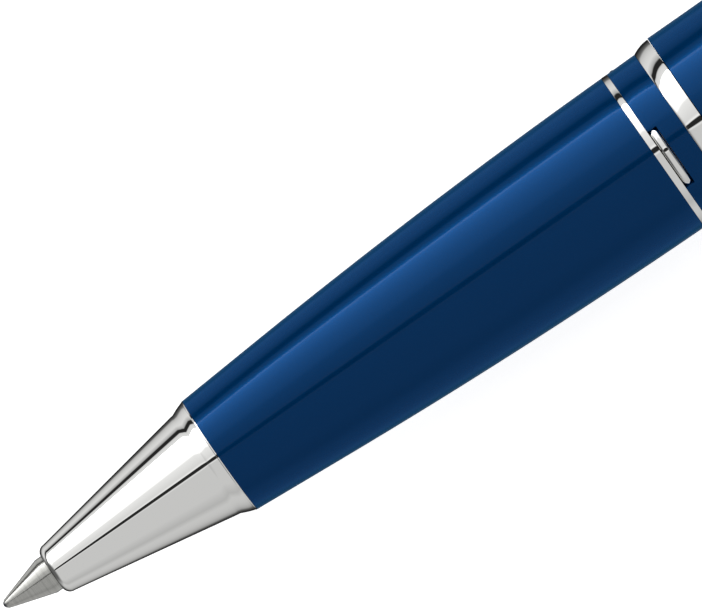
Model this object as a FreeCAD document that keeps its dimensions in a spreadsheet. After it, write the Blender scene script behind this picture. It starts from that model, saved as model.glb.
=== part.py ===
"""Rollerball pen with its cap posted on the tail, lying on its cap.

The pen's axis runs along X, from the writing ball at low X to the cap's finial at high X. Every
turned piece is drawn as (distance from the ball's apex, radius), in millimetres. Z is up, and Z = 0
is the surface that the cap's two rings and the clip rest on.
"""
import math
import os
import re

import FreeCAD
import Part
import Sketcher

DIMENSIONS = {
    # writing ball and the point that holds it
    "ball_r": 0.30,
    "ball_play": 0.01,
    "lip_x": 0.18,
    "lip_wall": 0.03,
    "point_cone_end": 3.45,
    "point_radius": 1.32,
    "point_shoulder": 8.0,
    "point_spigot_r": 1.0,
    "point_end": 11.0,
    "ink_channel_r": 0.12,
    "ink_bore_r": 0.45,
    "ink_bore_start": 2.0,
    # refill
    "refill_collar_front_r": 1.85,
    "refill_cone_end": 15.7,
    "refill_radius": 3.0,
    "refill_wall": 0.3,
    "refill_tube_start": 19.0,
    "refill_collar_end": 22.0,
    "refill_plug_start": 105.5,
    "refill_end": 110.5,
    # nose cone
    "nose_front": 3.93,
    "nose_bore_r": 1.36,
    "nose_face_r": 1.42,
    "nose_corner_x": 4.51,
    "nose_corner_radius": 1.853,
    "nose_corner_round": 0.60,
    "nose_cone_end": 16.31,
    "nose_cone_radius": 3.953,
    "nose_crease_x": 16.50,
    "nose_crease_r": 3.975,
    "nose_flare_round": 6.0,
    "nose_stop": 7.95,
    "nose_stop_r": 1.95,
    "nose_inner_cone_end": 15.5,
    "nose_inner_r": 3.15,
    "nose_spigot_r": 3.6,
    "nose_spigot_end": 23.2,
    # grip section
    "grip_start": 17.6,
    "grip_front_r": 4.40,
    "grip_line_end": 24.0,
    "grip_line_radius": 4.868,
    "grip_round": 445.0,
    "grip_end": 52.82,
    "grip_rear_r": 6.037,
    "liner_start": 23.3,
    "liner_step_x": 31.0,
    "liner_front_r": 4.0,
    "liner_r": 4.6,
    "liner_front_bore_r": 3.25,
    "liner_bore_r": 3.75,
    "tenon_end": 65.5,
    "tenon_chamfer": 0.35,
    # catch ring, its three lugs and the collar behind it
    "catch_ring_end": 53.29,
    "catch_ring_r": 6.045,
    "catch_groove_end": 54.02,
    "catch_groove_r": 5.0,
    "collar_end": 55.53,
    "collar_rear_r": 6.07,
    "lug_count": 3,
    "lug_roll": 9.5,
    "lug_length": 0.62,
    "lug_width": 4.5,
    "lug_top_r": 6.29,
    "lug_crown": 4.9,
    "lug_core_r": 1.2,
    "lug_edge": 0.30,
    "lug_base_r": 5.02,
    "lug_gap": 0.04,
    "catch_spring_r": 4.97,
    "catch_spring_inner_r": 4.72,
    "catch_spring_slit": 24.0,
    # shoulder ring and the seal behind it
    "shoulder_lip_x": 55.66,
    "shoulder_lip_radius": 6.13,
    "shoulder_crown_x": 56.66,
    "shoulder_crown_r": 6.37,
    "shoulder_round": 2.7,
    "shoulder_rim_front_r": 6.40,
    "shoulder_rim_r": 6.415,
    "shoulder_end": 56.83,
    "seal_mid_x": 57.32,
    "seal_ring_r": 5.0,
    "seal_wire_r": 0.36,
    # barrel
    "barrel_start": 56.87,
    "barrel_radius": 6.467,
    "barrel_straight_end": 64.0,
    "barrel_round": 612.0,
    "barrel_bend_end": 84.0,
    "barrel_bend_radius": 6.14,
    "barrel_end": 119.5,
    "barrel_end_radius": 4.98,
    "insert_start": 57.9,
    "insert_end": 70.0,
    "insert_r": 5.5,
    "thread_play": 0.05,
    "thread_relief_x": 66.2,
    "thread_relief_r": 3.95,
    "barrel_liner_r": 4.4,
    "barrel_liner_bore": 3.9,
    "barrel_liner_end": 116.5,
    # spring and its seat
    "spring_start": 110.85,
    "spring_end": 114.65,
    "spring_mid_r": 2.3,
    "spring_wire_r": 0.27,
    "spring_pitch": 0.95,
    "seat_start": 115.0,
    "seat_end": 116.4,
    "seat_r": 3.85,
    "seat_guide_r": 1.9,
    "seat_guide_start": 113.2,
    # tail
    "tail_plug_start": 116.5,
    "tail_stud_r": 1.5,
    "tail_stud_end": 121.8,
    "tail_ring_end": 120.3,
    "tail_ring_radius": 5.02,
    "tail_cap_radius": 4.86,
    "tail_cap_straight": 121.0,
    "tail_cap_round": 6.2,
    "tail_end": 123.4,
    # cap
    "cap_mouth": 84.0,
    "cap_mouth_r": 6.18,
    "cap_ring_r": 7.10,
    "cap_ring_edge": 0.35,
    "cap_ring_end": 88.2,
    "catch_seat_start": 85.95,
    "catch_seat_end": 86.85,
    "catch_seat_r": 6.36,
    "cap_shell_r": 6.98,
    "cap_shell_round": 2400.0,
    "cap_shell_top_r": 6.86,
    "cap_shell_end": 139.5,
    "cap_liner_r": 6.45,
    "cap_liner_bore": 6.2,
    "inner_cap_start": 124.0,
    "inner_cap_mouth_r": 5.3,
    "inner_cap_cone_end": 127.0,
    "inner_cap_bore": 4.55,
    "inner_cap_floor": 141.0,
    "cap_top_ring_end": 142.0,
    "cap_head_r": 6.3,
    "cap_head_end": 146.8,
    "cap_screw_r": 1.5,
    "cap_screw_start": 139.6,
    "cap_screw_head_r": 2.4,
    "cap_screw_end": 149.0,
    "finial_cone_x": 148.9,
    "finial_cone_r": 5.5,
    "finial_edge_x": 149.7,
    "finial_edge_r": 4.7,
    "finial_edge_round": 1.2,
    "finial_round": 13.0,
    "finial_end": 150.6,
    # clip, its pin and its spring
    "clip_roll": 125.0,
    "clip_width": 4.4,
    "clip_tip_width": 3.0,
    "clip_taper_tip": 101.0,
    "clip_taper_start": 138.0,
    "clip_back_x": 146.1,
    "clip_front_x": 102.0,
    "clip_top_r": 9.35,
    "clip_brow_x": 106.0,
    "clip_brow_r": 9.25,
    "clip_arm_round": 900.0,
    "clip_brow_round": 5.0,
    "clip_nose_r": 7.93,
    "clip_nose_round": 1.6,
    "clip_heel_x": 144.1,
    "clip_heel_r": 7.7,
    "clip_heel_round": 2.6,
    "clip_foot_x": 103.2,
    "clip_foot_end": 105.4,
    "clip_foot_r": 7.13,
    "clip_arch_x": 108.0,
    "clip_arch_r": 7.95,
    "clip_arm_inner_r": 8.25,
    "clip_elbow_x": 140.7,
    "clip_elbow_r": 7.8,
    "clip_tongue_x": 142.7,
    "clip_tongue_base": 2.8,
    "clip_tongue_width": 3.0,
    "clip_slot_width": 3.1,
    "clip_slot_base": 2.0,
    "clip_slot_play": 0.25,
    "clip_tongue_lap": 0.2,
    "clip_pin_x": 144.4,
    "clip_pin_height": 4.3,
    "clip_pin_r": 0.6,
    "clip_pin_length": 8.4,
    "clip_spring_thickness": 0.3,
    "clip_edge": 0.3,
    # where the pen lies
    "half_length": 75.3,
    "axis_side": 0.89,
}
SHEET = "Dims"

os.makedirs("parts", exist_ok=True)
doc = FreeCAD.newDocument("rollerball_pen")
sheet = doc.addObject("Spreadsheet::Sheet", SHEET)
for row, (alias, number) in enumerate(DIMENSIONS.items(), start=1):
    sheet.set(f"A{row}", alias)
    sheet.set(f"B{row}", str(number))
    sheet.setAlias(f"B{row}", alias)
doc.recompute()
pieces = []


def cells(text):
    """The expression with the sheet's name before each alias. A word before a bracket is a function."""
    return re.sub(r"\b[a-z][a-z_]*\b(?!\()", lambda word: f"{SHEET}.{word.group(0)}", str(text))


def value(text):
    """The number that an expression over the sheet's aliases gives now."""
    found = sheet.evalExpression(cells(text))
    return float(getattr(found, "Value", found))


def bind(thing, prop, text):
    """Ties a property to an expression over the sheet's aliases."""
    thing.setExpression(prop, cells(text))


def lie(piece, roll="0"):
    """Lays a piece along the pen's axis, turned about it by roll degrees."""
    piece.Placement.Rotation = FreeCAD.Rotation(FreeCAD.Vector(1, 0, 0), value(roll))
    bind(piece, "Placement.Base.x", "-half_length")
    bind(piece, "Placement.Base.y", "axis_side")
    bind(piece, "Placement.Base.z", "cap_ring_r")
    bind(piece, "Placement.Rotation.Angle", roll)
    pieces.append(piece)


def wrap(name, thing, roll="0"):
    """Lays a single solid that has a placement of its own along the pen's axis."""
    piece = doc.addObject("Part::Compound", name)
    piece.Links = [thing]
    lie(piece, roll)


def plane(body, role):
    """The body's own origin plane or axis with that role."""
    return next(feature for feature in body.Origin.OriginFeatures if feature.Role == role)


def new_sketch(body, name, role="XY_Plane"):
    """A sketch on one of the body's own origin planes."""
    sketch = body.newObject("Sketcher::SketchObject", name)
    sketch.AttachmentSupport = [(plane(body, role), "")]
    sketch.MapMode = "FlatFace"
    return sketch


def fix(sketch, kind, where, text, name):
    """Adds a measured constraint and ties it to the sheet."""
    index = sketch.addConstraint(Sketcher.Constraint(kind, *where, value(text)))
    sketch.renameConstraint(index, name)
    bind(sketch, f"Constraints.{name}", text)


def arc_between(start, end, radius):
    """An arc from start to end and its two ends' numbers. It bulges away from the pen's axis."""
    middle, chord = (start + end) / 2, end - start
    outward = FreeCAD.Vector(-chord.y, chord.x, 0).normalize()
    if outward.y < 0:
        outward = -outward
    reach = math.sqrt(radius**2 - chord.Length**2 / 4)
    centre = middle - outward * reach
    angles = [math.atan2(point.y - centre.y, point.x - centre.x) for point in (start, end)]
    anticlockwise = (angles[1] - angles[0]) % (2 * math.pi) < math.pi
    first, last = angles if anticlockwise else reversed(angles)
    circle = Part.Circle(centre, FreeCAD.Vector(0, 0, 1), radius)
    return Part.ArcOfCircle(circle, first, last), (1, 2) if anticlockwise else (2, 1)


def draw(sketch, outline, mark="p"):
    """Draws a closed outline of (along, across) or (along, across, radius of the arc that arrives)."""
    points = [FreeCAD.Vector(value(row[0]), value(row[1]), 0) for row in outline]
    edges = []
    for number, row in enumerate(outline):
        start, end = points[number - 1], points[number]
        if len(row) == 3:
            curve, ends = arc_between(start, end, value(row[2]))
        else:
            curve, ends = Part.LineSegment(start, end), (1, 2)
        edges.append((sketch.addGeometry(curve, False), ends))
    for number, row in enumerate(outline):
        edge, ends = edges[number]
        following, next_ends = edges[(number + 1) % len(outline)]
        sketch.addConstraint(Sketcher.Constraint("Coincident", edge, ends[1], following, next_ends[0]))
        fix(sketch, "DistanceX", (-1, 1, edge, ends[1]), row[0], f"{mark}{number}x")
        if abs(points[number].y) < 1e-9:
            sketch.addConstraint(Sketcher.Constraint("PointOnObject", edge, ends[1], -1))
        else:
            fix(sketch, "DistanceY", (-1, 1, edge, ends[1]), row[1], f"{mark}{number}y")
        if len(row) == 3:
            fix(sketch, "Radius", (edge,), row[2], f"{mark}{number}r")


def mirrored(outline):
    """The outline on the other side of the sketch's first axis."""
    return [(along, f"-({across})") for along, across in outline]


def turned(name, outline, roll="0", sweep=None):
    """A piece turned on a lathe: its outline spun about the pen's axis."""
    body = doc.addObject("PartDesign::Body", name)
    sketch = new_sketch(body, name + "_outline")
    draw(sketch, outline)
    spin = body.newObject("PartDesign::Revolution", name + "_spin")
    spin.Profile = sketch
    spin.ReferenceAxis = (sketch, ["H_Axis"])
    spin.Angle = 360
    if sweep:
        bind(spin, "Angle", sweep)
    lie(body, roll)
    return body


def tube(name, start, end, inner, outer):
    """A plain tube or ring."""
    return turned(name, [(start, inner), (start, outer), (end, outer), (end, inner)])


def mill(body, name, role, outlines, depth, midplane=False):
    """Mills a pocket upwards from the plane, or equally both ways, and checks that it cut."""
    doc.recompute()
    before = body.Shape.Volume
    sketch = new_sketch(body, name + "_outline", role)
    for number, outline in enumerate(outlines):
        draw(sketch, outline, f"p{number}c")
    pocket = body.newObject("PartDesign::Pocket", name)
    pocket.Profile = sketch
    bind(pocket, "Length", depth)
    pocket.Midplane = midplane
    pocket.Reversed = not midplane
    doc.recompute()
    if not body.Shape.Volume < before:
        raise RuntimeError(f"{name} cut nothing")
    return pocket


def pad(body, name, outlines, width):
    """Pads side profiles equally both ways from the body's middle plane."""
    sketch = new_sketch(body, name + "_outline", "XZ_Plane")
    for number, outline in enumerate(outlines):
        draw(sketch, outline, f"p{number}c")
    feature = body.newObject("PartDesign::Pad", name)
    feature.Profile = sketch
    bind(feature, "Length", width)
    feature.Midplane = True
    return feature


def drill(body, name, along, height, radius, depth):
    """Drills across the piece, square to its middle plane."""
    doc.recompute()
    before = body.Shape.Volume
    sketch = new_sketch(body, name + "_outline", "XZ_Plane")
    centre = FreeCAD.Vector(value(along), value(height), 0)
    hole = sketch.addGeometry(Part.Circle(centre, FreeCAD.Vector(0, 0, 1), value(radius)), False)
    fix(sketch, "DistanceX", (-1, 1, hole, 3), along, "along")
    fix(sketch, "DistanceY", (-1, 1, hole, 3), height, "height")
    fix(sketch, "Radius", (hole,), radius, "radius")
    pocket = body.newObject("PartDesign::Pocket", name)
    pocket.Profile = sketch
    bind(pocket, "Length", depth)
    pocket.Midplane = True
    doc.recompute()
    if not body.Shape.Volume < before:
        raise RuntimeError(f"{name} cut nothing")


def round_off(body, name, radius):
    """Rounds the long edges of the clip's outer face."""
    doc.recompute()
    base = body.Tip
    inside = value("(clip_brow_r + clip_arm_inner_r) / 2")
    long_edges = [
        f"Edge{number}"
        for number, edge in enumerate(body.Shape.Edges, start=1)
        if edge.Length > value("clip_width") and edge.CenterOfMass.z > inside
    ]
    before = body.Shape.Volume
    rounding = body.newObject("PartDesign::Fillet", name)
    rounding.Base = (base, long_edges)
    bind(rounding, "Radius", radius)
    doc.recompute()
    if not body.Shape.Volume < before:
        raise RuntimeError(f"{name} rounded nothing")


def box_between(name, low, high):
    """A block from one corner to the other, each corner given as three expressions."""
    block = doc.addObject("Part::Box", name)
    for prop, axis, near, far in zip(("Length", "Width", "Height"), "xyz", low, high):
        bind(block, prop, f"({far}) - ({near})")
        bind(block, f"Placement.Base.{axis}", near)
    return block


def make_point():
    """The ball, and the turned steel point whose lip holds it."""
    ball = doc.addObject("Part::Sphere", "tip_ball")
    bind(ball, "Radius", "ball_r")
    lie(ball)
    bind(ball, "Placement.Base.x", "ball_r - half_length")
    seat = "(ball_r + ball_play)"
    lip = f"sqrt({seat} ^ 2 - (ball_r - lip_x) ^ 2)"
    mouth = f"ball_r + sqrt({seat} ^ 2 - ink_channel_r ^ 2)"
    turned("tip_socket", [
        ("lip_x", lip, seat),
        ("lip_x", f"{lip} + lip_wall"),
        ("point_cone_end", "point_radius"),
        ("point_shoulder", "point_radius"),
        ("point_shoulder", "point_spigot_r"),
        ("point_end", "point_spigot_r"),
        ("point_end", "ink_bore_r"),
        ("ink_bore_start", "ink_bore_r"),
        ("ink_bore_start", "ink_channel_r"),
        (mouth, "ink_channel_r"),
    ])


def make_refill():
    """The replaceable ink refill behind the point."""
    turned("refill_collar", [
        ("point_shoulder", "point_spigot_r"),
        ("point_shoulder", "refill_collar_front_r"),
        ("refill_cone_end", "refill_radius"),
        ("refill_tube_start", "refill_radius"),
        ("refill_tube_start", "refill_radius - refill_wall"),
        ("refill_collar_end", "refill_radius - refill_wall"),
        ("refill_collar_end", "point_spigot_r"),
    ])
    tube("refill_tube", "refill_tube_start", "refill_end", "refill_radius - refill_wall", "refill_radius")
    inside = "refill_radius - refill_wall"
    turned("ink_reservoir", [
        ("refill_collar_end", "0"),
        ("refill_collar_end", inside),
        ("refill_plug_start", inside),
        ("refill_plug_start", "0"),
    ])
    turned("refill_end_plug", [
        ("refill_plug_start", "0"),
        ("refill_plug_start", inside),
        ("refill_end", inside),
        ("refill_end", "0"),
    ])


def make_section():
    """The front half of the pen: nose cone, grip, lined with a metal tube that the barrel screws on."""
    turned("nose_cone", [
        ("nose_front", "nose_bore_r"),
        ("nose_front", "nose_face_r"),
        ("nose_corner_x", "nose_corner_radius", "nose_corner_round"),
        ("nose_cone_end", "nose_cone_radius"),
        ("nose_crease_x", "nose_crease_r"),
        ("grip_start", "grip_front_r", "nose_flare_round"),
        ("grip_start", "nose_spigot_r"),
        ("nose_spigot_end", "nose_spigot_r"),
        ("nose_spigot_end", "nose_inner_r"),
        ("nose_inner_cone_end", "nose_inner_r"),
        ("nose_stop", "nose_stop_r"),
        ("nose_stop", "nose_bore_r"),
    ])
    turned("grip_shell", [
        ("grip_start", "nose_spigot_r"),
        ("grip_start", "grip_front_r"),
        ("grip_line_end", "grip_line_radius"),
        ("grip_end", "grip_rear_r", "grip_round"),
        ("grip_end", "liner_r"),
        ("liner_step_x", "liner_r"),
        ("liner_step_x", "liner_front_r"),
        ("liner_start", "liner_front_r"),
        ("liner_start", "nose_spigot_r"),
    ])
    turned("section_liner", [
        ("liner_start", "liner_front_bore_r"),
        ("liner_start", "liner_front_r"),
        ("liner_step_x", "liner_front_r"),
        ("liner_step_x", "liner_r"),
        ("tenon_end - tenon_chamfer", "liner_r"),
        ("tenon_end", "liner_r - tenon_chamfer"),
        ("tenon_end", "liner_bore_r"),
        ("liner_step_x", "liner_bore_r"),
        ("liner_step_x", "liner_front_bore_r"),
    ])
    turned("shoulder_ring", [
        ("collar_end", "liner_r"),
        ("collar_end", "collar_rear_r"),
        ("shoulder_lip_x", "shoulder_lip_radius"),
        ("shoulder_crown_x", "shoulder_crown_r", "shoulder_round"),
        ("shoulder_crown_x", "shoulder_rim_front_r"),
        ("shoulder_end", "shoulder_rim_r"),
        ("shoulder_end", "liner_r"),
    ])
    ring = doc.addObject("Part::Torus", "barrel_seal_ring")
    bind(ring, "Radius1", "seal_ring_r")
    bind(ring, "Radius2", "seal_wire_r")
    ring.Placement.Rotation = FreeCAD.Rotation(FreeCAD.Vector(0, 1, 0), 90)
    bind(ring, "Placement.Base.x", "seal_mid_x")
    wrap("barrel_seal", ring)


def make_catch():
    """The snap catch that holds the closed cap: a ring, three lugs in their windows and a spring."""
    tube("catch_ring", "grip_end", "catch_ring_end", "liner_r", "catch_ring_r")
    collar = turned("section_collar", [
        ("catch_ring_end", "catch_groove_r"),
        ("catch_ring_end", "catch_ring_r"),
        ("collar_end", "collar_rear_r"),
        ("collar_end", "liner_r"),
        ("catch_groove_end", "liner_r"),
        ("catch_groove_end", "catch_groove_r"),
    ], roll="lug_roll")
    half = "(lug_width / 2 + lug_gap)"
    rear = "catch_ring_end + lug_length + 2 * lug_gap"
    window = mill(collar, "lug_window", "XY_Plane", [[
        ("catch_ring_end", f"-{half}"),
        ("catch_ring_end", half),
        (rear, half),
        (rear, f"-{half}"),
    ]], "lug_top_r")
    windows = collar.newObject("PartDesign::PolarPattern", "lug_windows")
    windows.Originals = [window]
    windows.Axis = (plane(collar, "X_Axis"), [""])
    windows.Angle = 360
    bind(windows, "Occurrences", "lug_count")
    collar.Tip = windows
    turned("catch_spring", [
        ("catch_ring_end + lug_gap", "catch_spring_inner_r"),
        ("catch_ring_end + lug_gap", "catch_spring_r"),
        ("catch_groove_end - lug_gap", "catch_spring_r"),
        ("catch_groove_end - lug_gap", "catch_spring_inner_r"),
    ], roll="lug_roll + 180 / lug_count", sweep="360 - catch_spring_slit")
    for number in range(int(value("lug_count"))):
        make_lug(number)


def make_lug(number):
    """One lug: a block whose top is a narrow crowned wheel rim, sliding square to the pen's axis."""
    front = "catch_ring_end + lug_gap"
    rear = f"{front} + lug_length"
    crown = doc.addObject("PartDesign::Body", f"lug_crown_{number + 1}")
    sketch = new_sketch(crown, f"lug_crown_outline_{number + 1}")
    draw(sketch, [
        (front, "lug_core_r"),
        (front, "lug_crown - lug_edge"),
        (f"{front} + lug_edge", "lug_crown", "lug_edge"),
        (f"{rear} - lug_edge", "lug_crown"),
        (rear, "lug_crown - lug_edge", "lug_edge"),
        (rear, "lug_core_r"),
    ])
    spin = crown.newObject("PartDesign::Revolution", f"lug_crown_spin_{number + 1}")
    spin.Profile = sketch
    spin.ReferenceAxis = (sketch, ["H_Axis"])
    spin.Angle = 360
    bind(crown, "Placement.Base.z", "lug_top_r - lug_crown")
    block = box_between(
        f"lug_block_{number + 1}",
        (front, "-lug_width / 2", "lug_base_r"),
        (rear, "lug_width / 2", "lug_top_r + lug_edge"),
    )
    lug = doc.addObject("Part::Common", f"catch_lug_{number + 1}")
    lug.Base = block
    lug.Tool = crown
    lie(lug, f"lug_roll + {number} * 360 / lug_count")


def make_barrel():
    """The rear half of the pen, and the tail that the cap is posted on."""
    turned("barrel_shell", [
        ("barrel_start", "insert_r"),
        ("barrel_start", "barrel_radius"),
        ("barrel_straight_end", "barrel_radius"),
        ("barrel_bend_end", "barrel_bend_radius", "barrel_round"),
        ("barrel_end", "barrel_end_radius"),
        ("barrel_end", "barrel_liner_r"),
        ("insert_end", "barrel_liner_r"),
        ("insert_end", "insert_r"),
    ])
    turned("barrel_insert", [
        ("insert_start", "liner_r + thread_play"),
        ("insert_start", "insert_r"),
        ("insert_end", "insert_r"),
        ("insert_end", "thread_relief_r"),
        ("thread_relief_x", "thread_relief_r"),
        ("thread_relief_x", "liner_r + thread_play"),
    ])
    tube("barrel_liner", "insert_end", "barrel_liner_end", "barrel_liner_bore", "barrel_liner_r")
    tube("tail_plug", "tail_plug_start", "barrel_end", "tail_stud_r", "barrel_liner_r")
    tube("tail_ring", "barrel_end", "tail_ring_end", "tail_stud_r", "tail_ring_radius")
    turned("tail_stud", [
        ("tail_plug_start", "0"),
        ("tail_plug_start", "tail_stud_r"),
        ("tail_stud_end", "tail_stud_r"),
        ("tail_stud_end", "0"),
    ])
    turned("tail_cap", [
        ("tail_ring_end", "tail_stud_r"),
        ("tail_ring_end", "tail_cap_radius"),
        ("tail_cap_straight", "tail_cap_radius"),
        ("tail_end", "0", "tail_cap_round"),
        ("tail_stud_end", "0"),
        ("tail_stud_end", "tail_stud_r"),
    ])


def make_spring():
    """The coil spring that pushes the refill forward, and the seat behind it."""
    body = doc.addObject("PartDesign::Body", "refill_spring")
    sketch = new_sketch(body, "spring_wire")
    centre = FreeCAD.Vector(value("spring_start"), value("spring_mid_r"), 0)
    wire = sketch.addGeometry(Part.Circle(centre, FreeCAD.Vector(0, 0, 1), value("spring_wire_r")), False)
    fix(sketch, "DistanceX", (-1, 1, wire, 3), "spring_start", "start")
    fix(sketch, "DistanceY", (-1, 1, wire, 3), "spring_mid_r", "mid_radius")
    fix(sketch, "Radius", (wire,), "spring_wire_r", "wire_radius")
    coil = body.newObject("PartDesign::AdditiveHelix", "spring_coil")
    coil.Profile = sketch
    coil.ReferenceAxis = (sketch, ["H_Axis"])
    coil.Mode = "pitch-height-angle"
    bind(coil, "Pitch", "spring_pitch")
    bind(coil, "Height", "spring_end - spring_start")
    lie(body)
    turned("spring_seat", [
        ("seat_guide_start", "0"),
        ("seat_guide_start", "seat_guide_r"),
        ("seat_start", "seat_guide_r"),
        ("seat_start", "seat_r"),
        ("seat_end", "seat_r"),
        ("seat_end", "0"),
    ])


def make_cap():
    """The cap: a lined shell between two rings, with a head and a finial screwed to its top."""
    turned("cap_mouth_ring", [
        ("cap_mouth", "cap_mouth_r"),
        ("cap_mouth", "cap_ring_r - cap_ring_edge"),
        ("cap_mouth + cap_ring_edge", "cap_ring_r", "cap_ring_edge"),
        ("cap_ring_end", "cap_ring_r"),
        ("cap_ring_end", "cap_mouth_r"),
        ("catch_seat_end", "cap_mouth_r"),
        ("catch_seat_end", "catch_seat_r"),
        ("catch_seat_start", "catch_seat_r"),
        ("catch_seat_start", "cap_mouth_r"),
    ])
    turned("cap_shell", [
        ("cap_ring_end", "cap_liner_r"),
        ("cap_ring_end", "cap_shell_r"),
        ("cap_shell_end", "cap_shell_top_r", "cap_shell_round"),
        ("cap_shell_end", "cap_liner_r"),
    ])
    tube("cap_liner", "cap_ring_end", "cap_shell_end", "cap_liner_bore", "cap_liner_r")
    turned("inner_cap", [
        ("inner_cap_start", "inner_cap_mouth_r"),
        ("inner_cap_start", "cap_liner_bore"),
        ("cap_top_ring_end", "cap_liner_bore"),
        ("cap_top_ring_end", "cap_screw_r"),
        ("inner_cap_floor", "cap_screw_r"),
        ("inner_cap_floor", "inner_cap_bore"),
        ("inner_cap_cone_end", "inner_cap_bore"),
    ])
    tube("cap_top_ring", "cap_shell_end", "cap_top_ring_end", "cap_liner_bore", "cap_ring_r")
    turned("cap_screw", [
        ("cap_screw_start", "0"),
        ("cap_screw_start", "cap_screw_head_r"),
        ("inner_cap_floor", "cap_screw_head_r"),
        ("inner_cap_floor", "cap_screw_r"),
        ("cap_screw_end", "cap_screw_r"),
        ("cap_screw_end", "0"),
    ])
    turned("cap_finial", [
        ("cap_head_end", "cap_screw_r"),
        ("cap_head_end", "cap_head_r"),
        ("finial_cone_x", "finial_cone_r"),
        ("finial_edge_x", "finial_edge_r", "finial_edge_round"),
        ("finial_end", "0", "finial_round"),
        ("cap_screw_end", "0"),
        ("cap_screw_end", "cap_screw_r"),
    ])


def make_clip():
    """The sprung clip, hinged on a pin in the cap's head."""
    head = turned("cap_head", [
        ("cap_top_ring_end", "cap_screw_r"),
        ("cap_top_ring_end", "cap_head_r"),
        ("cap_head_end", "cap_head_r"),
        ("cap_head_end", "cap_screw_r"),
    ], roll="clip_roll")
    front = "clip_tongue_x - clip_slot_play"
    back = "clip_back_x + clip_slot_play"
    mill(head, "clip_slot", "XZ_Plane", [[
        (front, "clip_slot_base"),
        (front, "cap_ring_r"),
        (back, "cap_ring_r"),
        (back, "clip_slot_base"),
    ]], "clip_slot_width", midplane=True)
    drill(head, "pin_hole", "clip_pin_x", "clip_pin_height", "clip_pin_r", "clip_pin_length")

    clip = doc.addObject("PartDesign::Body", "clip")
    pad(clip, "clip_arm", [[
        ("clip_tongue_x", "cap_ring_r"),
        ("clip_tongue_x", "clip_elbow_r"),
        ("clip_elbow_x", "clip_arm_inner_r"),
        ("clip_arch_x", "clip_arch_r"),
        ("clip_foot_end", "clip_foot_r"),
        ("clip_foot_x", "clip_foot_r"),
        ("clip_front_x", "clip_nose_r", "clip_nose_round"),
        ("clip_brow_x", "clip_brow_r", "clip_brow_round"),
        ("clip_heel_x", "clip_top_r", "clip_arm_round"),
        ("clip_back_x", "clip_heel_r", "clip_heel_round"),
        ("clip_back_x", "cap_ring_r"),
    ]], "clip_width")
    wedge = [
        ("clip_taper_tip", "clip_tip_width / 2"),
        ("clip_taper_start", "clip_width / 2"),
        ("clip_taper_start", "clip_width"),
        ("clip_taper_tip", "clip_width"),
    ]
    mill(clip, "clip_taper", "XY_Plane", [wedge, mirrored(wedge)], "2 * clip_top_r")
    pad(clip, "clip_tongue", [[
        ("clip_tongue_x", "clip_tongue_base"),
        ("clip_tongue_x", "cap_ring_r + clip_tongue_lap"),
        ("clip_back_x", "cap_ring_r + clip_tongue_lap"),
        ("clip_back_x", "clip_tongue_base"),
    ]], "clip_tongue_width")
    drill(clip, "clip_pivot", "clip_pin_x", "clip_pin_height", "clip_pin_r + thread_play", "clip_width")
    round_off(clip, "clip_rounding", "clip_edge")
    lie(clip, "clip_roll")

    rod = doc.addObject("Part::Cylinder", "clip_pin_rod")
    bind(rod, "Radius", "clip_pin_r")
    bind(rod, "Height", "clip_pin_length")
    rod.Placement.Rotation = FreeCAD.Rotation(FreeCAD.Vector(1, 0, 0), 90)
    bind(rod, "Placement.Base.x", "clip_pin_x")
    bind(rod, "Placement.Base.y", "clip_pin_length / 2")
    bind(rod, "Placement.Base.z", "clip_pin_height")
    wrap("clip_pin", rod, "clip_roll")

    leaf = box_between(
        "clip_spring_leaf",
        ("clip_tongue_x", "-clip_tongue_width / 2 + thread_play", "clip_slot_base + thread_play"),
        ("clip_back_x", "clip_tongue_width / 2 - thread_play",
         "clip_slot_base + thread_play + clip_spring_thickness"),
    )
    wrap("clip_spring", leaf, "clip_roll")


def check_and_write():
    """Checks every object, then writes each piece to its own file."""
    doc.recompute()
    broken = [thing.Name for thing in doc.Objects if {"Invalid", "Error"} & set(thing.State)]
    if broken:
        raise RuntimeError(f"failed objects: {broken}")
    for piece in pieces:
        piece.Label = piece.Name
        if piece.Shape.isNull() or not piece.Shape.isValid() or not piece.Shape.Solids:
            raise RuntimeError(f"{piece.Name} has no valid solid")
        piece.Shape.exportStep(f"parts/{piece.Label}.step")
        print(f"{piece.Label}: {piece.Shape.Volume:.3f} mm3")


make_point()
make_refill()
make_section()
make_catch()
make_barrel()
make_spring()
make_cap()
make_clip()
check_and_write()
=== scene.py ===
"""Rollerball pen, blue lacquer and chrome: the visible pieces, their finishes, the light and the camera.

Sizes are in millimetres, measured along the pen's axis from the writing ball's apex, and across it as
radii. The pen lies along X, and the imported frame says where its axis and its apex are.
"""
import logging
import math
from dataclasses import dataclass, field
from enum import Enum
from typing import Iterable, Sequence

import bmesh
import bpy
from mathutils import Matrix, Vector


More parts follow.
